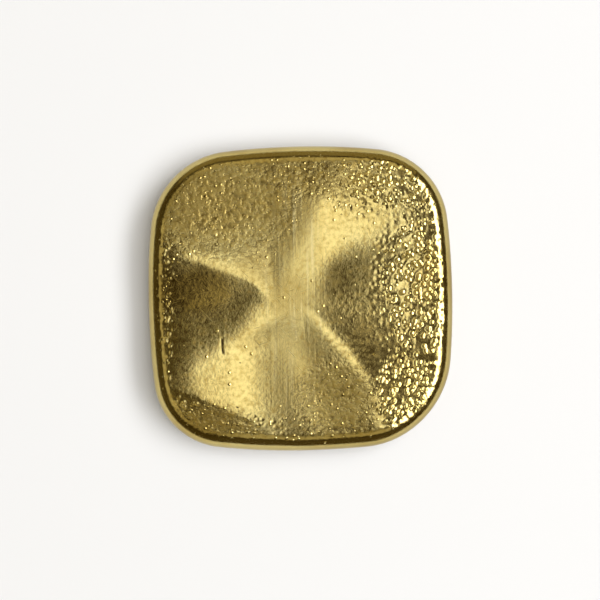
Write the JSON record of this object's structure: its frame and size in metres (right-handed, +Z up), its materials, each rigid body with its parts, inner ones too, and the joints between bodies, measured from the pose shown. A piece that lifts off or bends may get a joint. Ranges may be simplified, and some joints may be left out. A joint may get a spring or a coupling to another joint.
{
  "type": "metal ingot",
  "caption": "Small cast gold bar, square with rounded corners, lying on its flat mould face with the rough as-poured face up.",
  "frame": {"origin": "under the middle of the bar, on the plane that it rests on", "axes": "+Z up out of the as-poured face, +X to the right and +Y to the back as seen from above"},
  "size_m": [0.022, 0.022, 0.0038],
  "materials": {
    "gold": "as-cast gold, satin, finely dimpled, with smooth patches and hairline scratches"
  },
  "bodies": {
    "root": {"ingot": "gold"}
  },
  "joints": []
}
